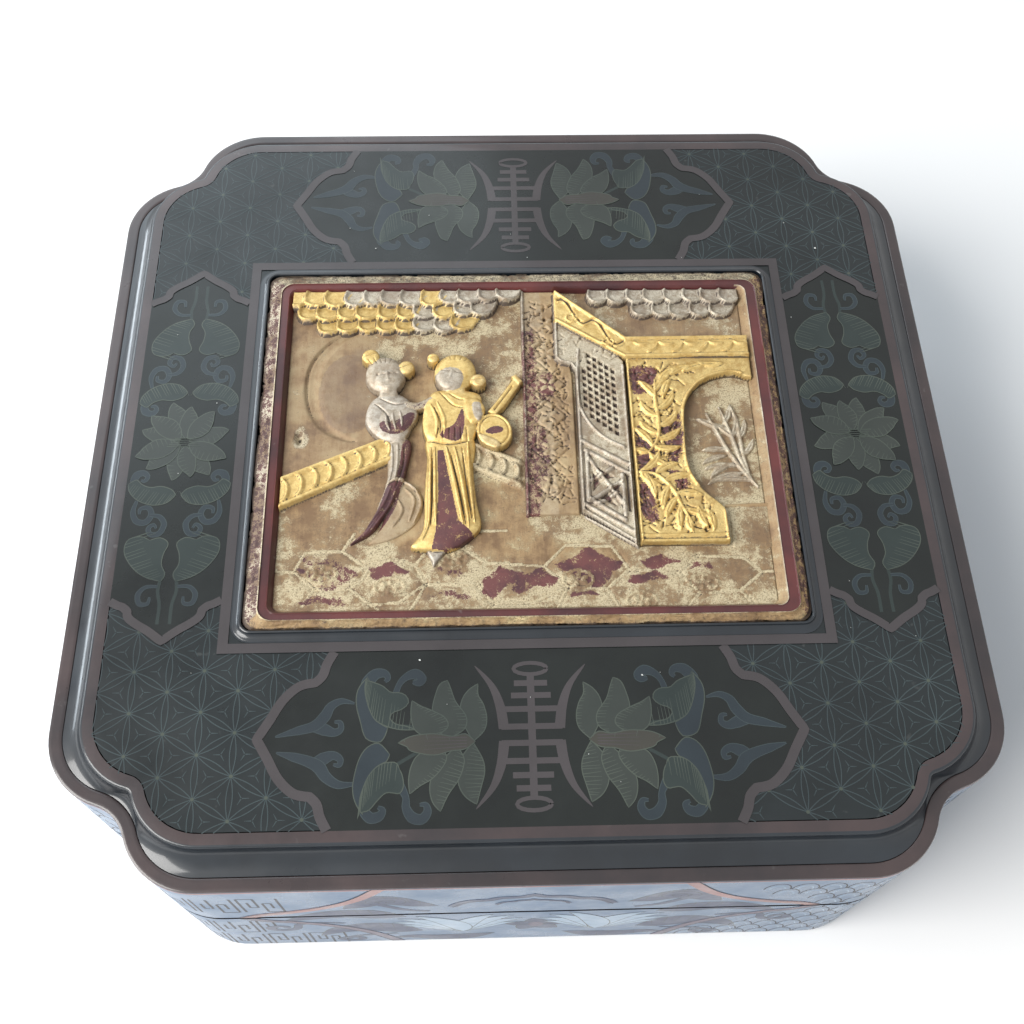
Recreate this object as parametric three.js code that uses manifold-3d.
// A square lacquered wooden box with notched corners, a lift-off lid and a carved panel.
// Millimetres, +Z up. The origin is under the middle of the base, and the front faces -Y.
// The box is joined as a cabinet maker would join it: straight boards meet corner blocks with
// tongues and grooves, boards sit in rebates, and every joint keeps a thin gap for the glue.

import * as THREE from 'three';
import { mergeVertices } from 'three/addons/utils/BufferGeometryUtils.js';
import Module from 'manifold-3d';

const wasm = await Module();
wasm.setup();

// Overall plan
const boxLength = 300;        // outside size along X
const boxWidth = 300;         // outside size along Y
const glueGap = 0.3;          // left between pieces that are glued
const lidClearance = 0.6;     // between the locating lip and the inside of the lid

// The notched corner: a convex lobe, a hollow between, and a second lobe.
const lobeRadius = 24.3;
const lobeAngle = THREE.MathUtils.degToRad(72.6);
const hollowRadius = 14.6;
const cornerStraight = 4.86;  // straight length between the curve and the joint with a board

// Base
const baseHeight = 52.6;      // underside to the top edge of the walls
const wallThickness = 9;
const floorThickness = 6;
const floorRebate = 4;        // how far the floor reaches under the walls
const lipThickness = 3.5;
const lipRise = 7;            // lip above the top edge of the base
const lipDepth = 9;           // lip below the top edge of the base

// Lid
const seam = 0.4;             // visible line between the lid and the base
const skirtHeight = 42.4;     // lower edge of the lid to the flat outer rim
const rimFlat = 5.2;          // width of the flat rim outside the cove
const seatDepth = 6;          // rebate in the skirt for the edge of the top board
const ledgeThickness = 3.2;   // edge of the top board, which carries the moulding
const fieldInset = 11.4;      // rim edge to the raised field
const fieldRise = 7;          // raised field above the rim
const fieldLobeRadius = 22.6;
const fieldLobeAngle = THREE.MathUtils.degToRad(74);
const fieldHollowRadius = 2.4;
const quirkDrop = 0.7;        // small step where the flat rim meets the cove
const borderWidth = 4.3;      // flat top of the moulding round the field

// Carved panel and the strips round it
const panelLength = 183;
const panelWidth = 142;
const panelCorner = 5;
const panelThickness = 7.5;   // underside to the top of its frame
const panelSeatDepth = 4;     // how deep the panel is let into the top board
const bevelWidth = 5.2;
const bevelDrop = 2.2;
const filletWidth = 2.3;      // narrow channel inside the bevel
const filletDrop = 0.7;
const innerSlope = 1.8;       // slope from the channel down to the ground of the relief
const groundDrop = 2.9;       // ground of the relief below the top of the frame
const stripWidth = 3.4;
const stripRise = 1.9;
const stripEdge = 0.3;        // thickness of a strip at its thin outer edge

// Relief on the panel
// Places are measured from the middle of the panel. Each rise is a height above the ground.
const reliefRoot = 0.8;       // how far the carved forms reach down into the ground
const windowCorner = 2;       // radius of the corners of the relief's opening
const moon = { x: -60, y: 17.5, radius: 15.5, rise: 0.6 };
const tile = { length: 21, width: 12, groove: 1.1, rise: 0.4, firstRow: -55.5, rows: 3, columns: 5 };
const paved = [[-80.5, -60], [80.5, -60], [80.5, -36], [-4, -30], [-12, -22], [-80.5, -40]];
const cloud = {
  pitch: 7.8, drop: 6.2, halfLength: 4.9, halfWidth: 4.1, rise: 2.3, fade: 0.12, lean: -0.25,
};
const cloudBanks = [          // first lobe, then for each row its shift and number of lobes
  { x: -78, y: 58.5, rows: [[0, 10], [0.5, 9], [2, 7]] },
  { x: 28, y: 58.5, rows: [[0, 7], [0.5, 6]] },
];
const rail = { rise: 1.9, curlRise: 2.6, curlRadius: 1.7, curlLength: 2.9, curlTurn: 0.4 };
const leftRail = [[-82.4, -27.5], [-45, -8.5], [-45, 1.8], [-82.4, -17]];
const leftCurls = 7;
const rightRail = [[-18, -11], [1.5, -19.5], [1.5, -10.5], [-18, -2]];
const rightCurls = 4;
const column = { rise: 1.3, outline: [[2, -31.5], [18, -31.5], [18, 24], [12, 31], [12, 62], [2, 62]] };
const porch = { rise: 2.2, edgeRise: 3.2 };
const porchSide = [[18.2, -31.5], [37, -43], [37, 36], [12.6, 58], [12.6, 31.5], [19, 25]];
const porchFront = { left: 37, right: 67.5, far: 82.4, bottom: -42.5, top: 33 };
const eaves = { rise: 3.9, outline: [
  [12.8, 47], [37, 30.5], [82.4, 30.5], [82.4, 40], [40, 40], [16, 60.5], [12.8, 60.5],
] };
const niche = { x: 74, y: -3.5, halfLength: 17, halfWidth: 24.5 };

// Stations down a carved form: across, up, half its width, and its rise.
const ladyRobe = [
  [-47, 18, 3.2, 2.8], [-46.5, 13, 6.5, 4.2], [-45.5, 6, 7.8, 4.6], [-44, -6, 6.6, 4.2],
  [-43.5, -16, 6.2, 3.8], [-45.5, -27, 6.6, 3.2], [-50.5, -38, 6.2, 2.2], [-57, -42, 2.2, 1.2],
];
const ladySleeve = [
  [-53, 8, 3, 3.4], [-47, 3, 3.6, 5.2], [-40, 5, 3.2, 5.2], [-34, 11, 2.2, 4.4], [-29, 14.5, 1.4, 3.6],
];
const playerRobe = [
  [-23, 18, 3.6, 3.2], [-23, 13, 8, 4.8], [-23.5, 6, 9.2, 5.2], [-24, -8, 8, 4.8],
  [-24, -20, 8.4, 4.6], [-24, -34, 9.2, 4.4], [-24, -44, 8.2, 3.6], [-26, -50, 2.4, 2],
];
const playerSleeve = [
  [-32, 8, 3, 3.8], [-27, 2, 4, 5.6], [-19, 1, 4, 5.8], [-13, 6, 3, 5.2], [-9, 12, 2, 4.6],
];
const heads = [               // across, up, half width, half height, rise
  [-47.6, 24, 6.2, 7, 4.8], [-23.2, 24.4, 6.6, 7.2, 5.4],
];
const hairKnots = [
  [-52.6, 32, 2.8, 2.4, 3.2], [-40.4, 26.5, 2.4, 2, 2.8], [-31.4, 28.6, 2.4, 1.9, 2.6],
  [-15, 22.5, 2.6, 2, 3],
];
const lute = { x: -10.5, y: 1, halfWidth: 6.8, halfHeight: 6.2, rise: 5.4 };
const luteNeck = [[-9, 6, 1.6, 4.6], [-5, 14, 1.4, 4.4], [-1.5, 21, 1.6, 4], [-0.5, 24, 0.8, 3]];
const spray = {
  x: 80, y: -22, length: 36, lean: 1.95, stem: [0.7, 0.8], tip: [0.5, 0.7],
  leaves: 7, firstLeaf: 0.3, leaf: 8, spread: 0.5, halfWidth: 1.3, rise: 1.1,
};

// Joints between boards
const tongueThickness = 3;
const tongueDepth = 4;
const tongueShoulder = 3;     // tongue stops this far short of the board's edges

// Smoothness
const lobeSteps = 7;
const hollowSteps = 4;
const coveSteps = 5;
const roundSteps = 5;         // in each rounded corner of the panel
const ridgeSteps = 6;         // across a carved ridge
const stemSteps = 4;          // across a thin one
const domeRows = 6;
const roundSides = 12;        // round a head or the lute
const smallSides = 8;         // round a cloud, a curl, a leaf or a knot of hair
const moonSides = 28;
const nicheSides = 24;
const weld = 1e-4;            // points closer than this become one
const overrun = 1;            // how far a cutter goes past what it cuts

// Levels worked out from the sizes above
const lidBottom = baseHeight + seam;
const rimTop = lidBottom + skirtHeight;
const seatTop = rimTop - seatDepth;
const fieldTop = rimTop + fieldRise;
const boardBottom = seatTop + glueGap;
const ledgeTop = boardBottom + ledgeThickness;
const panelSeat = fieldTop - panelSeatDepth;
const panelBottom = panelSeat + glueGap;
const frameTop = panelBottom + panelThickness;
const groundTop = frameTop - groundDrop;

// Lacquer, wood and gilding
const lacquer = { color: 0x1c2426, roughness: 0.28, metalness: 0 };
const rimLacquer = { color: 0x3a3230, roughness: 0.32, metalness: 0 };
const lining = { color: 0x120f0e, roughness: 0.45, metalness: 0 };
const gilding = { color: 0xb08a3e, roughness: 0.45, metalness: 0.6 };

const box = new THREE.Group();
box.name = 'lacquer_box';

function material(look) {
  return new THREE.MeshStandardMaterial({
    color: look.color, roughness: look.roughness, metalness: look.metalness,
  });
}

function addPiece(name, geometry, look) {
  const mesh = new THREE.Mesh(geometry, material(look));
  mesh.name = name;
  box.add(mesh);
  return mesh;
}

// Joining and cutting
function toSolid(geometry) {
  const bare = geometry.clone();
  bare.deleteAttribute('normal');
  bare.deleteAttribute('uv');
  const merged = mergeVertices(bare, weld);
  return new wasm.Manifold(new wasm.Mesh({
    numProp: 3,
    vertProperties: new Float32Array(merged.attributes.position.array),
    triVerts: new Uint32Array(merged.index.array),
  }));
}

function toGeometry(solid) {
  const mesh = solid.getMesh();
  const geometry = new THREE.BufferGeometry();
  geometry.setAttribute('position', new THREE.BufferAttribute(mesh.vertProperties, 3));
  geometry.setIndex(new THREE.BufferAttribute(mesh.triVerts, 1));
  geometry.computeVertexNormals();
  return geometry;
}

function boxSolid(low, high) {
  const size = high.map((value, axis) => value - low[axis]);
  const geometry = new THREE.BoxGeometry(size[0], size[1], size[2]);
  geometry.translate(...low.map((value, axis) => value + size[axis] / 2));
  return toSolid(geometry);
}

// The notched outline
// A corner is drawn once, in the quadrant of +X and -Y, and then mirrored. It runs from the
// right-hand side round to the front. Inset moves it inwards by the same amount everywhere.
function cornerPath(plan, inset, reach) {
  const halfX = plan.length / 2 - inset;
  const halfY = plan.width / 2 - inset;
  const convex = plan.lobe - inset;
  const concave = plan.hollow + inset;
  const turn = 2 * plan.angle - Math.PI / 2;
  const points = [];
  let x = 0;
  let y = 0;
  const addArc = (radius, from, sweep, steps, side) => {
    for (let i = 1; i <= steps; i += 1) {
      const a = from + (sweep * i) / steps;
      points.push([
        x + side * radius * (Math.sin(a) - Math.sin(from)),
        y + side * radius * (Math.cos(from) - Math.cos(a)),
      ]);
    }
    [x, y] = points[points.length - 1];
  };
  points.push([0, 0]);
  addArc(convex, 0, plan.angle, lobeSteps, 1);
  addArc(concave, plan.angle, -turn, hollowSteps, -1);
  addArc(convex, plan.angle - turn, plan.angle, lobeSteps, 1);
  // Along the side first (u) and inwards second (v), measured from where the lobe starts.
  const cut = x;
  const placed = points.map(([u, v]) => [halfX - v, -halfY + cut - u]);
  const startY = -plan.width / 2 + reach;
  const endX = plan.length / 2 - reach;
  return [[halfX, startY], ...placed, [endX, -halfY]];
}

const outerPlan = {
  length: boxLength, width: boxWidth, lobe: lobeRadius, angle: lobeAngle, hollow: hollowRadius,
};
const fieldPlan = {
  length: boxLength - 2 * fieldInset, width: boxWidth - 2 * fieldInset,
  lobe: fieldLobeRadius, angle: fieldLobeAngle, hollow: fieldHollowRadius,
};

// How far along a side the curves of a corner reach, measured from the corner of the plan.
function cornerRun({ lobe, hollow, angle }) {
  return lobe * (1 + Math.sin(angle) - Math.cos(angle)) + hollow * (Math.sin(angle) - Math.cos(angle));
}

// From the corner of the plan to the joint with a straight board.
const cornerReach = cornerStraight
  + Math.max(cornerRun(outerPlan), cornerRun(fieldPlan) + fieldInset);

const outerCorner = (inset) => cornerPath(outerPlan, inset, cornerReach);
const fieldCorner = (inset) => cornerPath(fieldPlan, inset, cornerReach - fieldInset);

function blend(a, b, t) {
  return a.map(([x, y], i) => [x + (b[i][0] - x) * t, y + (b[i][1] - y) * t]);
}

// Mirrors for the four corners, as factors on X and on Y.
const corners = [
  ['front_right', 1, 1], ['front_left', -1, 1], ['back_right', 1, -1], ['back_left', -1, -1],
];

function mirrored(path, signX, signY) {
  return path.map(([x, y]) => [x * signX, y * signY]);
}

function fullOutline(corner) {
  return [
    ...mirrored(corner, 1, 1),
    ...mirrored(corner, -1, 1).reverse(),
    ...mirrored(corner, -1, -1),
    ...mirrored(corner, 1, -1).reverse(),
  ];
}

// Solids swept along a path
// A profile is a closed ring of { path, z }. All its paths have the same number of points, so
// the ring can change its shape on the way, as a moulding does round a notch. A z that is a
// list gives a height for each point of the path.
function heightAt(z, i) {
  return Array.isArray(z) ? z[i] : z;
}

function sweep(profile) {
  const rings = profile[0].path.length;
  const sides = profile.length;
  const positions = [];
  for (let i = 0; i < rings; i += 1) {
    profile.forEach(({ path, z }) => positions.push(path[i][0], path[i][1], heightAt(z, i)));
  }
  const index = [];
  for (let i = 0; i < rings - 1; i += 1) {
    for (let j = 0; j < sides; j += 1) {
      const next = (j + 1) % sides;
      const a = i * sides + j;
      const b = i * sides + next;
      const c = (i + 1) * sides + next;
      const d = (i + 1) * sides + j;
      index.push(a, b, c, a, c, d);
    }
  }
  const cap = (ring, flip) => {
    const base = ring * sides;
    const origin = profile[0].path[ring];
    const flat = profile.map(({ path, z }) => new THREE.Vector2(
      Math.hypot(path[ring][0] - origin[0], path[ring][1] - origin[1]), heightAt(z, ring),
    ));
    const clockwise = THREE.ShapeUtils.isClockWise(flat);
    THREE.ShapeUtils.triangulateShape(flat, []).forEach(([p, q, r]) => {
      if (flip !== clockwise) index.push(base + p, base + q, base + r);
      else index.push(base + r, base + q, base + p);
    });
  };
  cap(0, false);
  cap(rings - 1, true);
  const geometry = new THREE.BufferGeometry();
  geometry.setAttribute('position', new THREE.Float32BufferAttribute(positions, 3));
  geometry.setIndex(index);
  return outward(geometry);
}

function volumeOf(geometry) {
  const p = geometry.attributes.position;
  const a = new THREE.Vector3();
  const b = new THREE.Vector3();
  const c = new THREE.Vector3();
  let sum = 0;
  for (let i = 0; i < geometry.index.count; i += 3) {
    a.fromBufferAttribute(p, geometry.index.getX(i));
    b.fromBufferAttribute(p, geometry.index.getX(i + 1));
    c.fromBufferAttribute(p, geometry.index.getX(i + 2));
    sum += a.dot(b.cross(c));
  }
  return sum;
}

// Turns every face round when a mirrored path has left the solid inside out.
function outward(geometry) {
  if (volumeOf(geometry) < 0) geometry.index.array.reverse();
  geometry.computeVertexNormals();
  return geometry;
}

// Profiles of the rings
// Each gives its ring for a path function, so that straight boards and corners share it.
function baseWallProfile(at) {
  const floorTop = floorThickness + glueGap;
  return [
    { path: at(0), z: 0 },
    { path: at(wallThickness - floorRebate), z: 0 },
    { path: at(wallThickness - floorRebate), z: floorTop },
    { path: at(wallThickness), z: floorTop },
    { path: at(wallThickness), z: baseHeight },
    { path: at(0), z: baseHeight },
  ];
}

function lipProfile(at) {
  const outside = wallThickness + glueGap;
  return [
    { path: at(outside), z: baseHeight - lipDepth },
    { path: at(outside + lipThickness), z: baseHeight - lipDepth },
    { path: at(outside + lipThickness), z: baseHeight + lipRise },
    { path: at(outside + lidClearance), z: baseHeight + lipRise },
    { path: at(outside), z: baseHeight },
  ];
}

function skirtProfile(at) {
  return [
    { path: at(0), z: lidBottom },
    { path: at(wallThickness), z: lidBottom },
    { path: at(wallThickness), z: seatTop },
    { path: at(rimFlat), z: seatTop },
    { path: at(rimFlat), z: rimTop },
    { path: at(0), z: rimTop },
  ];
}

// The cove starts level at the flat rim and ends upright at the edge of the raised field.
function corniceProfile(at, fieldAt) {
  const outer = at(rimFlat + glueGap);
  const edge = fieldAt(0);
  const inner = fieldAt(borderWidth);
  const cove = [];
  const coveFoot = rimTop - quirkDrop;
  for (let i = 0; i <= coveSteps; i += 1) {
    const turn = (Math.PI / 2) * (i / coveSteps);
    cove.push({
      path: blend(outer, edge, Math.sin(turn)),
      z: coveFoot + (fieldTop - coveFoot) * (1 - Math.cos(turn)),
    });
  }
  const foot = ledgeTop + glueGap;
  return [
    ...cove,
    { path: inner, z: fieldTop },
    { path: inner, z: foot },
    { path: outer, z: foot },
  ];
}

// Straight lengths
// A side is a path of two points, from one corner block to the next.
const sides = [
  ['front', 0, -1], ['back', 0, 1], ['left', -1, 0], ['right', 1, 0],
];

function sidePath(normalX, normalY, plan, inset, halfRun) {
  const out = normalX ? plan.length / 2 - inset : plan.width / 2 - inset;
  return normalX
    ? [[normalX * out, -halfRun], [normalX * out, halfRun]]
    : [[-halfRun, normalY * out], [halfRun, normalY * out]];
}

function halfRunOf(normalX) {
  return (normalX ? boxWidth : boxLength) / 2 - cornerReach - glueGap;
}

function tongue(normalX, normalY, end, bottom, top, grow) {
  const middle = (normalX ? boxLength : boxWidth) / 2 - wallThickness / 2;
  const run = (normalX ? boxWidth : boxLength) / 2 - cornerReach;
  const half = tongueThickness / 2 + grow;
  const across = [middle - half, middle + half];
  const along = grow
    ? [run - glueGap, run + tongueDepth + grow]
    : [run - tongueDepth, run + tongueDepth];
  const low = bottom + tongueShoulder - grow;
  const high = top - tongueShoulder + grow;
  const sign = normalX || normalY;
  const a = [across[0] * sign, across[1] * sign].sort((p, q) => p - q);
  const b = [along[0] * end, along[1] * end].sort((p, q) => p - q);
  return normalX
    ? boxSolid([a[0], b[0], low], [a[1], b[1], high])
    : boxSolid([b[0], a[0], low], [b[1], a[1], high]);
}

function addWalls(prefix, profileOf, bottom, top, look) {
  sides.forEach(([side, normalX, normalY]) => {
    const at = (inset) => sidePath(normalX, normalY, outerPlan, inset, halfRunOf(normalX));
    let board = toSolid(sweep(profileOf(at)));
    [-1, 1].forEach((end) => {
      board = board.add(tongue(normalX, normalY, end, bottom, top, 0));
    });
    addPiece(`${prefix}_${side}`, toGeometry(board), look);
  });
  corners.forEach(([corner, signX, signY]) => {
    const at = (inset) => mirrored(outerCorner(inset), signX, signY);
    let block = toSolid(sweep(profileOf(at)));
    block = block.subtract(tongue(signX, 0, -signY, bottom, top, glueGap));
    block = block.subtract(tongue(0, -signY, signX, bottom, top, glueGap));
    addPiece(`${prefix}_corner_${corner}`, toGeometry(block), look);
  });
}

function addRing(prefix, profileOf, look) {
  sides.forEach(([side, normalX, normalY]) => {
    const run = halfRunOf(normalX);
    const at = (inset) => sidePath(normalX, normalY, outerPlan, inset, run);
    const fieldAt = (inset) => sidePath(normalX, normalY, fieldPlan, inset, run);
    addPiece(`${prefix}_${side}`, sweep(profileOf(at, fieldAt)), look);
  });
  corners.forEach(([corner, signX, signY]) => {
    const at = (inset) => mirrored(outerCorner(inset), signX, signY);
    const fieldAt = (inset) => mirrored(fieldCorner(inset), signX, signY);
    addPiece(`${prefix}_corner_${corner}`, sweep(profileOf(at, fieldAt)), look);
  });
}

// Boards
function slab(outline, bottom, top) {
  const shape = new THREE.Shape(outline.map(([x, y]) => new THREE.Vector2(x, y)));
  const geometry = new THREE.ExtrudeGeometry(shape, { depth: top - bottom, bevelEnabled: false });
  geometry.translate(0, 0, bottom);
  return geometry;
}

function addFloor() {
  const outline = fullOutline(outerCorner(wallThickness - floorRebate + glueGap));
  addPiece('base_floor', toGeometry(toSolid(slab(outline, 0, floorThickness))), lining);
}

function addTopBoard() {
  const ledge = slab(fullOutline(outerCorner(rimFlat + glueGap)), boardBottom, ledgeTop);
  const field = slab(fullOutline(fieldCorner(borderWidth + glueGap)), boardBottom, fieldTop);
  const seat = slab(
    roundedRectangle(panelLength / 2 + glueGap, panelWidth / 2 + glueGap, panelCorner + glueGap),
    panelSeat, fieldTop + panelSeatDepth,
  );
  const board = toSolid(ledge).add(toSolid(field)).subtract(toSolid(seat));
  addPiece('lid_top_board', toGeometry(board), lacquer);
}

function roundedRectangle(halfX, halfY, radius) {
  const points = [];
  [[1, 1, 0], [-1, 1, 1], [-1, -1, 2], [1, -1, 3]].forEach(([signX, signY, quarter]) => {
    for (let i = 0; i <= roundSteps; i += 1) {
      const a = (quarter + i / roundSteps) * (Math.PI / 2);
      points.push([
        signX * (halfX - radius) + radius * Math.cos(a),
        signY * (halfY - radius) + radius * Math.sin(a),
      ]);
    }
  });
  return points;
}

// Cove strips round the panel
function addPanelStrips() {
  const inner = [panelLength / 2 + glueGap, panelWidth / 2 + glueGap];
  const foot = fieldTop + glueGap;
  sides.forEach(([side, normalX, normalY]) => {
    const profile = [];
    const strip = (out, rise) => {
      const reach = (axis) => inner[axis] + out;
      const alongX = reach(0) - glueGap / 2;
      const alongY = reach(1) - glueGap / 2;
      profile.push({
        path: normalX
          ? [[normalX * reach(0), -alongY], [normalX * reach(0), alongY]]
          : [[-alongX, normalY * reach(1)], [alongX, normalY * reach(1)]],
        z: foot + rise,
      });
    };
    strip(stripWidth, 0);
    for (let i = 0; i <= coveSteps; i += 1) {
      const turn = (Math.PI / 2) * (i / coveSteps);
      const rise = (stripRise - stripEdge) * (1 - Math.cos(turn));
      strip(stripWidth * (1 - Math.sin(turn)), stripEdge + rise);
    }
    strip(0, 0);
    addPiece(`lid_panel_strip_${side}`, sweep(profile), lacquer);
  });
}

// The carved panel
// Rings of outline points are stacked, and the first and the last are closed with a flat face.
function stacked(rings) {
  const count = rings[0].outline.length;
  const positions = rings.flatMap(({ outline, z }) => outline.flatMap(([x, y]) => [x, y, z]));
  const index = [];
  for (let i = 0; i < rings.length - 1; i += 1) {
    for (let j = 0; j < count; j += 1) {
      const next = (j + 1) % count;
      const a = i * count + j;
      const b = i * count + next;
      index.push(a, b, b + count, a, b + count, a + count);
    }
  }
  const flat = rings[0].outline.map(([x, y]) => new THREE.Vector2(x, y));
  const last = (rings.length - 1) * count;
  THREE.ShapeUtils.triangulateShape(flat, []).forEach(([p, q, r]) => {
    index.push(r, q, p, last + p, last + q, last + r);
  });
  const geometry = new THREE.BufferGeometry();
  geometry.setAttribute('position', new THREE.Float32BufferAttribute(positions, 3));
  geometry.setIndex(index);
  return outward(geometry);
}

function panelBlank() {
  const ring = (inset, z) => ({
    outline: roundedRectangle(
      panelLength / 2 - inset, panelWidth / 2 - inset,
      Math.max(panelCorner - inset / 2, windowCorner),
    ),
    z,
  });
  const channelOut = bevelWidth;
  const channelIn = bevelWidth + filletWidth;
  return toSolid(stacked([
    ring(0, panelBottom),
    ring(0, frameTop - bevelDrop),
    ring(channelOut - bevelDrop / 2, frameTop),
    ring(channelOut, frameTop),
    ring(channelOut, frameTop - filletDrop),
    ring(channelIn, frameTop - filletDrop),
    ring(channelIn + innerSlope, groundTop),
  ]));
}

// A rounded ridge over the ground that follows its stations.
function ridge(stations, arcSteps = ridgeSteps) {
  const profile = [];
  const normals = stations.map((station, i) => {
    const before = stations[Math.max(i - 1, 0)];
    const after = stations[Math.min(i + 1, stations.length - 1)];
    const run = [after[0] - before[0], after[1] - before[1]];
    const length = Math.hypot(...run);
    return [-run[1] / length, run[0] / length];
  });
  const line = (side, heights) => profile.push({
    path: stations.map(([x, y, half], i) => [
      x + normals[i][0] * half * side, y + normals[i][1] * half * side,
    ]),
    z: heights,
  });
  for (let i = 0; i <= arcSteps; i += 1) {
    const turn = (Math.PI * i) / arcSteps;
    line(Math.cos(turn), stations.map((station) => groundTop + station[3] * Math.sin(turn)));
  }
  line(-1, groundTop - reliefRoot);
  line(1, groundTop - reliefRoot);
  return toSolid(sweep(profile));
}

// Half an ellipsoid that stands on the ground.
function mound(x, y, halfLength, halfWidth, rise, turn, around) {
  const geometry = new THREE.SphereGeometry(1, around, domeRows);
  geometry.rotateX(Math.PI / 2);
  geometry.scale(halfLength, halfWidth, rise);
  geometry.rotateZ(turn);
  geometry.translate(x, y, groundTop);
  const lower = boxSolid(
    [x - halfLength - halfWidth, y - halfLength - halfWidth, groundTop - rise - overrun],
    [x + halfLength + halfWidth, y + halfLength + halfWidth, groundTop - reliefRoot],
  );
  return toSolid(geometry).subtract(lower);
}

function raised(outline, rise) {
  return toSolid(slab(outline, groundTop - reliefRoot, groundTop + rise));
}

// A flat face that climbs from one rise at its left to another at its right.
function leaning(outline, riseLeft, riseRight) {
  const xs = outline.map(([x]) => x);
  const low = Math.min(...xs) - overrun;
  const high = Math.max(...xs) + overrun;
  const solid = raised(outline, Math.max(riseLeft, riseRight) + overrun);
  const slope = sweep([
    { path: [[low, -panelWidth], [low, panelWidth]], z: groundTop + riseLeft },
    { path: [[high, -panelWidth], [high, panelWidth]], z: groundTop + riseRight },
    { path: [[high, -panelWidth], [high, panelWidth]], z: groundTop + panelThickness },
    { path: [[low, -panelWidth], [low, panelWidth]], z: groundTop + panelThickness },
  ]);
  return solid.subtract(toSolid(slope));
}

function ellipseOutline(x, y, halfLength, halfWidth, steps) {
  return Array.from({ length: steps }, (_, i) => {
    const a = (2 * Math.PI * i) / steps;
    return [x + halfLength * Math.cos(a), y + halfWidth * Math.sin(a)];
  });
}

function cloudLobes() {
  return cloudBanks.flatMap((bank) => bank.rows.flatMap(([shift, count], row) => (
    Array.from({ length: count }, (_, i) => mound(
      bank.x + cloud.pitch * (i + shift), bank.y - cloud.drop * row,
      cloud.halfLength, cloud.halfWidth, cloud.rise * (1 - cloud.fade * row), cloud.lean, smallSides,
    ))
  )));
}

function railing([lowLeft, lowRight, highRight, highLeft], count) {
  const parts = [raised([lowLeft, lowRight, highRight, highLeft], rail.rise)];
  for (let i = 0; i < count; i += 1) {
    const t = (i + 0.5) / count;
    const x = lowLeft[0] + (lowRight[0] - lowLeft[0]) * t;
    const low = lowLeft[1] + (lowRight[1] - lowLeft[1]) * t;
    const high = highLeft[1] + (highRight[1] - highLeft[1]) * t;
    parts.push(mound(
      x, (low + high) / 2, rail.curlRadius, rail.curlLength, rail.curlRise, rail.curlTurn, smallSides,
    ));
  }
  return parts;
}

// Six-sided paving in the lower part of the ground, kept clear of the walls and the railing.
function paving() {
  const half = tile.length / 2;
  const rise = tile.width / 2;
  const across = half * 1.5;
  const shrink = 1 - tile.groove / rise;
  const hexagon = (x, y) => [
    [half, 0], [half / 2, rise], [-half / 2, rise],
    [-half, 0], [-half / 2, -rise], [half / 2, -rise],
  ].map(([u, v]) => [x + u * shrink, y + v * shrink]);
  const tiles = [];
  for (let file = -tile.columns; file <= tile.columns; file += 1) {
    for (let row = 0; row < tile.rows; row += 1) {
      const y = tile.firstRow + tile.width * row + (file % 2 ? rise : 0);
      tiles.push(raised(hexagon(file * across, y), tile.rise));
    }
  }
  return tiles.reduce((all, one) => all.add(one)).intersect(raised(paved, panelThickness));
}

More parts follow.
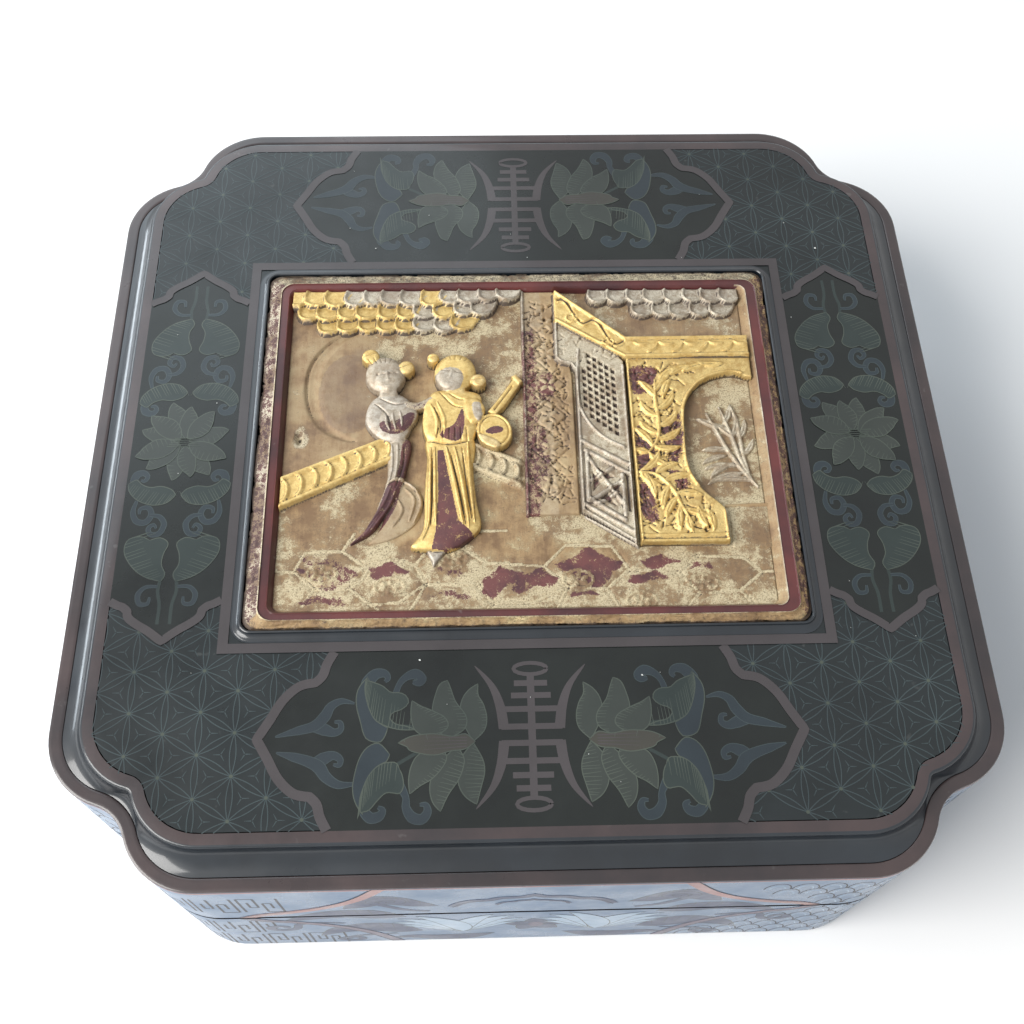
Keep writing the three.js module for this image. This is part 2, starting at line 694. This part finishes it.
function leafSpray() {
  const tip = [
    spray.x + spray.length * Math.cos(spray.lean), spray.y + spray.length * Math.sin(spray.lean),
  ];
  const parts = [ridge([[spray.x, spray.y, ...spray.stem], [...tip, ...spray.tip]], stemSteps)];
  for (let i = 0; i < spray.leaves; i += 1) {
    const t = spray.firstLeaf + ((1 - spray.firstLeaf) * i) / (spray.leaves - 1);
    const side = i % 2 ? 1 : -1;
    const a = spray.lean + side * spray.spread;
    const x = spray.x + (tip[0] - spray.x) * t + (spray.leaf / 2) * Math.cos(a);
    const y = spray.y + (tip[1] - spray.y) * t + (spray.leaf / 2) * Math.sin(a);
    parts.push(mound(x, y, spray.leaf / 2, spray.halfWidth, spray.rise, a, smallSides));
  }
  return parts;
}

function pavilion() {
  const { left, right, far, bottom, top } = porchFront;
  const front = [
    [left, bottom], [right, bottom], [right, niche.y], [far, niche.y], [far, top], [left, top],
  ];
  const recess = raised(
    ellipseOutline(niche.x, niche.y, niche.halfLength, niche.halfWidth, nicheSides), panelThickness,
  );
  const opening = recess.subtract(boxSolid(
    [-boxLength, -boxWidth, panelBottom], [boxLength, boxWidth, groundTop],
  ));
  return [
    raised(column.outline, column.rise),
    leaning(porchSide, porch.rise, porch.edgeRise),
    raised(front, porch.edgeRise).subtract(opening),
    raised(eaves.outline, eaves.rise),
  ];
}

function figures() {
  return [
    ridge(ladyRobe), ridge(ladySleeve), ridge(playerRobe), ridge(playerSleeve),
    ...heads.map(([x, y, across, up, rise]) => mound(x, y, across, up, rise, 0, roundSides)),
    ...hairKnots.map(([x, y, across, up, rise]) => mound(x, y, across, up, rise, 0, smallSides)),
    mound(lute.x, lute.y, lute.halfWidth, lute.halfHeight, lute.rise, 0, roundSides),
    ridge(luteNeck, stemSteps),
  ];
}

function addPanel() {
  const forms = [
    raised(ellipseOutline(moon.x, moon.y, moon.radius, moon.radius, moonSides), moon.rise),
    ...cloudLobes(), ...railing(leftRail, leftCurls), ...railing(rightRail, rightCurls),
    paving(), ...pavilion(), ...leafSpray(), ...figures(),
  ];
  const window = raised(
    roundedRectangle(
      panelLength / 2 - bevelWidth - filletWidth - innerSlope / 2,
      panelWidth / 2 - bevelWidth - filletWidth - innerSlope / 2, windowCorner,
    ), panelThickness,
  );
  const relief = forms.reduce((all, one) => all.add(one)).intersect(window);
  addPiece('lid_carved_panel', toGeometry(panelBlank().add(relief)), gilding);
}

addWalls('base_wall', baseWallProfile, floorThickness, baseHeight, lacquer);
addFloor();
addRing('base_lip', lipProfile, lining);
addWalls('lid_skirt', skirtProfile, lidBottom, seatTop, lacquer);
addRing('lid_cornice', corniceProfile, rimLacquer);
addTopBoard();
addPanelStrips();
addPanel();

export default box;
